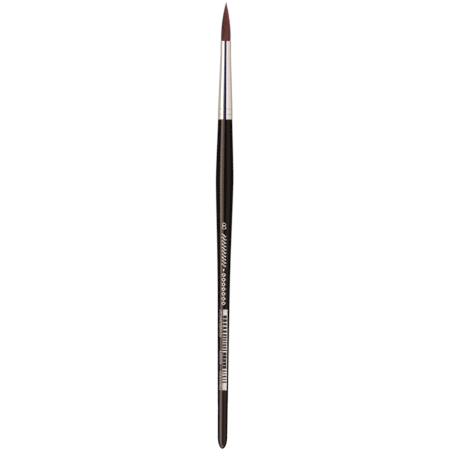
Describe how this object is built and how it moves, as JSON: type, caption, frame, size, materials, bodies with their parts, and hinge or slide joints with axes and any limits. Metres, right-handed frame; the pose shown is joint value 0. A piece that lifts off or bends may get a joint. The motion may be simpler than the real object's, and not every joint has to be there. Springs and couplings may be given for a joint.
{
  "type": "paint brush",
  "caption": "Pointed round paint brush: dark red synthetic tuft in a conical plated ferrule with rolled crimps, on a glossy black handle that swells to a belly and tapers to a rounded tail.",
  "frame": {"origin": "the end of the handle's rounded tail, on the brush's axis", "axes": "+Z along the brush's axis from the tail to the tuft's point; the printed face looks along -Y; +X to the right of that face; the tuft bends about Y"},
  "size_m": [0.0112, 0.0112, 0.28],
  "materials": {
    "handle_wood": "turned birch, bare",
    "black_lacquer": "dipped black lacquer, high gloss",
    "nickel_plate": "polished nickel plate on brass, faint drawing lines",
    "wood_glue": "set wood glue",
    "filaments": "fine dark red synthetic filament, satin",
    "thread": "twisted linen thread",
    "epoxy": "set amber adhesive",
    "white_ink": "printed white ink, satin",
    "silver_foil": "hot-stamped silver foil, satin"
  },
  "bodies": {
    "handle_and_ferrule": {"handle_core": "handle_wood", "lacquer_coat": "black_lacquer", "ferrule": "nickel_plate", "tenon_glue": "wood_glue", "filament_roots": "filaments", "binding_thread": "thread", "root_adhesive": "epoxy", "code_panel": "white_ink", "fine_lines": "silver_foil", "ornament_band": "silver_foil", "size_mark": "silver_foil"},
    "tuft_head": {"belly_filaments": "filaments", "point_filaments": "filaments"}
  },
  "joints": [
    {"name": "tuft_bend", "type": "hinge", "parent": "handle_and_ferrule", "child": "tuft_head", "pos_m": [0, 0, 0.25598], "axis": [0, 1, 0], "range_deg": [-35, 35], "stiffness_Nm_per_rad": 0.006}
  ]
}
